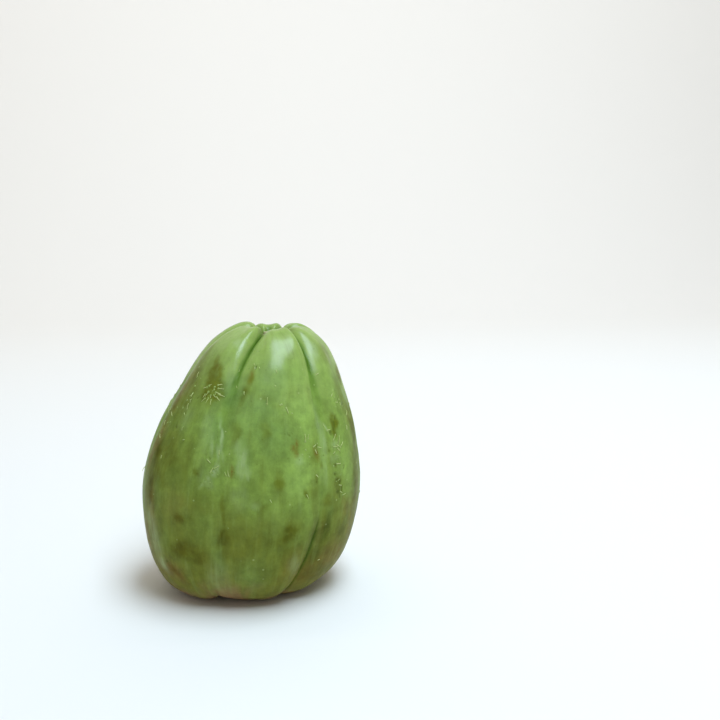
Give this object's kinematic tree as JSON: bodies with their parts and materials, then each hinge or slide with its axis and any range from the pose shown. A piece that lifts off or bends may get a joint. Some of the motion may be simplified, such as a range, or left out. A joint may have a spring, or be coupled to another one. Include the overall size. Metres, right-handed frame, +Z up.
{
  "type": "chayote squash",
  "caption": "Pear-shaped green squash with deep furrows between its lobes, a sunken stem end and a puckered blossom end it stands on; food prop.",
  "frame": {"origin": "on the table, under the middle of the fruit's bounding box", "axes": "+Z up, towards the stem end; -Y the front, towards the broad middle lobe; +X the side the stem end leans to; the flat side of the fruit is front to back"},
  "size_m": [0.089, 0.083, 0.1087],
  "materials": {
    "skin": "smooth waxy green fruit skin, soft gloss"
  },
  "bodies": {
    "root": {"chayote": "skin"}
  },
  "joints": []
}
